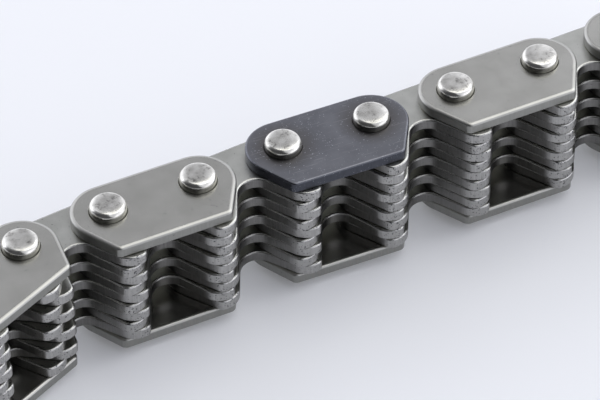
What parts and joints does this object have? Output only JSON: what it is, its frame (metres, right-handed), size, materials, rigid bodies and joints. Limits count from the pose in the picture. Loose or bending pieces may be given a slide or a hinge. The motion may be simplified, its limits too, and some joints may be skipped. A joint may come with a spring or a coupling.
{
  "type": "silent timing chain section",
  "caption": "Open length of inverted-tooth (silent) cam chain: toothed link plates, side guide plates and round pins, hinged at every pin.",
  "frame": {"origin": "centre of the first row's free bores, half way through the chain's width", "axes": "+X along the chain from the free bores, +Y towards the chain's smooth back, +Z along the pins, up as the chain lies on its side"},
  "size_m": [0.0666, 0.0153, 0.0104],
  "materials": {
    "link_plate": "blanked and tumbled spring steel, oiled",
    "guide_plate": "fine-ground satin steel with polished edges",
    "marked_guide_plate": "blued dark steel, satin",
    "pin": "hardened steel, polished rim and pitted end disc"
  },
  "bodies": {
    "row_1": {"row_1_joint_link_1": "link_plate", "row_1_joint_link_2": "link_plate", "row_1_joint_link_3": "link_plate", "row_1_joint_link_4": "link_plate", "row_1_joint_link_5": "link_plate"},
    "row_2": {"row_2_guide_top": "guide_plate", "row_2_guide_bottom": "guide_plate", "row_2_guide_link_1": "link_plate", "row_2_guide_link_2": "link_plate", "row_2_guide_link_3": "link_plate", "row_2_guide_link_4": "link_plate", "row_2_pins": "pin"},
    "row_3": {"row_3_joint_link_1": "link_plate", "row_3_joint_link_2": "link_plate", "row_3_joint_link_3": "link_plate", "row_3_joint_link_4": "link_plate", "row_3_joint_link_5": "link_plate"},
    "row_4": {"row_4_guide_top": "guide_plate", "row_4_guide_bottom": "guide_plate", "row_4_guide_link_1": "link_plate", "row_4_guide_link_2": "link_plate", "row_4_guide_link_3": "link_plate", "row_4_guide_link_4": "link_plate", "row_4_pins": "pin"},
    "row_5": {"row_5_joint_link_1": "link_plate", "row_5_joint_link_2": "link_plate", "row_5_joint_link_3": "link_plate", "row_5_joint_link_4": "link_plate", "row_5_joint_link_5": "link_plate"},
    "row_6": {"row_6_guide_top": "marked_guide_plate", "row_6_guide_bottom": "guide_plate", "row_6_guide_link_1": "link_plate", "row_6_guide_link_2": "link_plate", "row_6_guide_link_3": "link_plate", "row_6_guide_link_4": "link_plate", "row_6_pins": "pin"},
    "row_7": {"row_7_joint_link_1": "link_plate", "row_7_joint_link_2": "link_plate", "row_7_joint_link_3": "link_plate", "row_7_joint_link_4": "link_plate", "row_7_joint_link_5": "link_plate"},
    "row_8": {"row_8_guide_top": "guide_plate", "row_8_guide_bottom": "guide_plate", "row_8_guide_link_1": "link_plate", "row_8_guide_link_2": "link_plate", "row_8_guide_link_3": "link_plate", "row_8_guide_link_4": "link_plate", "row_8_pins": "pin"},
    "row_9": {"row_9_joint_link_1": "link_plate", "row_9_joint_link_2": "link_plate", "row_9_joint_link_3": "link_plate", "row_9_joint_link_4": "link_plate", "row_9_joint_link_5": "link_plate"},
    "row_10": {"row_10_guide_top": "guide_plate", "row_10_guide_bottom": "guide_plate", "row_10_guide_link_1": "link_plate", "row_10_guide_link_2": "link_plate", "row_10_guide_link_3": "link_plate", "row_10_guide_link_4": "link_plate", "row_10_pins": "pin"}
  },
  "joints": [
    {"name": "pivot_1", "type": "hinge", "parent": "row_2", "child": "row_1", "pos_m": [0.00526, 0.00355, 0], "axis": [0, 0, 1], "range_deg": [-27.6, 22.4]},
    {"name": "pivot_2", "type": "hinge", "parent": "row_3", "child": "row_2", "pos_m": [0.01095, 0.00637, 0], "axis": [0, 0, 1], "range_deg": [-39.3, 10.7]},
    {"name": "pivot_3", "type": "hinge", "parent": "row_4", "child": "row_3", "pos_m": [0.01725, 0.00716, 0], "axis": [0, 0, 1], "range_deg": [-25.4, 24.6]},
    {"name": "pivot_4", "type": "hinge", "parent": "row_5", "child": "row_4", "pos_m": [0.0236, 0.00735, 0], "axis": [0, 0, 1], "range_deg": [-15.5, 34.5]},
    {"name": "pivot_5", "type": "hinge", "parent": "row_6", "child": "row_5", "pos_m": [0.02991, 0.00803, 0], "axis": [0, 0, 1], "range_deg": [-26.2, 23.8]},
    {"name": "pivot_6", "type": "hinge", "parent": "row_6", "child": "row_7", "pos_m": [0.03626, 0.00803, 0], "axis": [0, 0, -1], "range_deg": [-16.6, 33.4]},
    {"name": "pivot_7", "type": "hinge", "parent": "row_7", "child": "row_8", "pos_m": [0.0426, 0.00841, 0], "axis": [0, 0, -1], "range_deg": [-21.5, 28.5]},
    {"name": "pivot_8", "type": "hinge", "parent": "row_8", "child": "row_9", "pos_m": [0.04895, 0.00862, 0], "axis": [0, 0, -1], "range_deg": [-18.2, 31.8]},
    {"name": "pivot_9", "type": "hinge", "parent": "row_9", "child": "row_10", "pos_m": [0.05529, 0.00903, 0], "axis": [0, 0, -1], "range_deg": [-21.8, 28.2]}
  ]
}
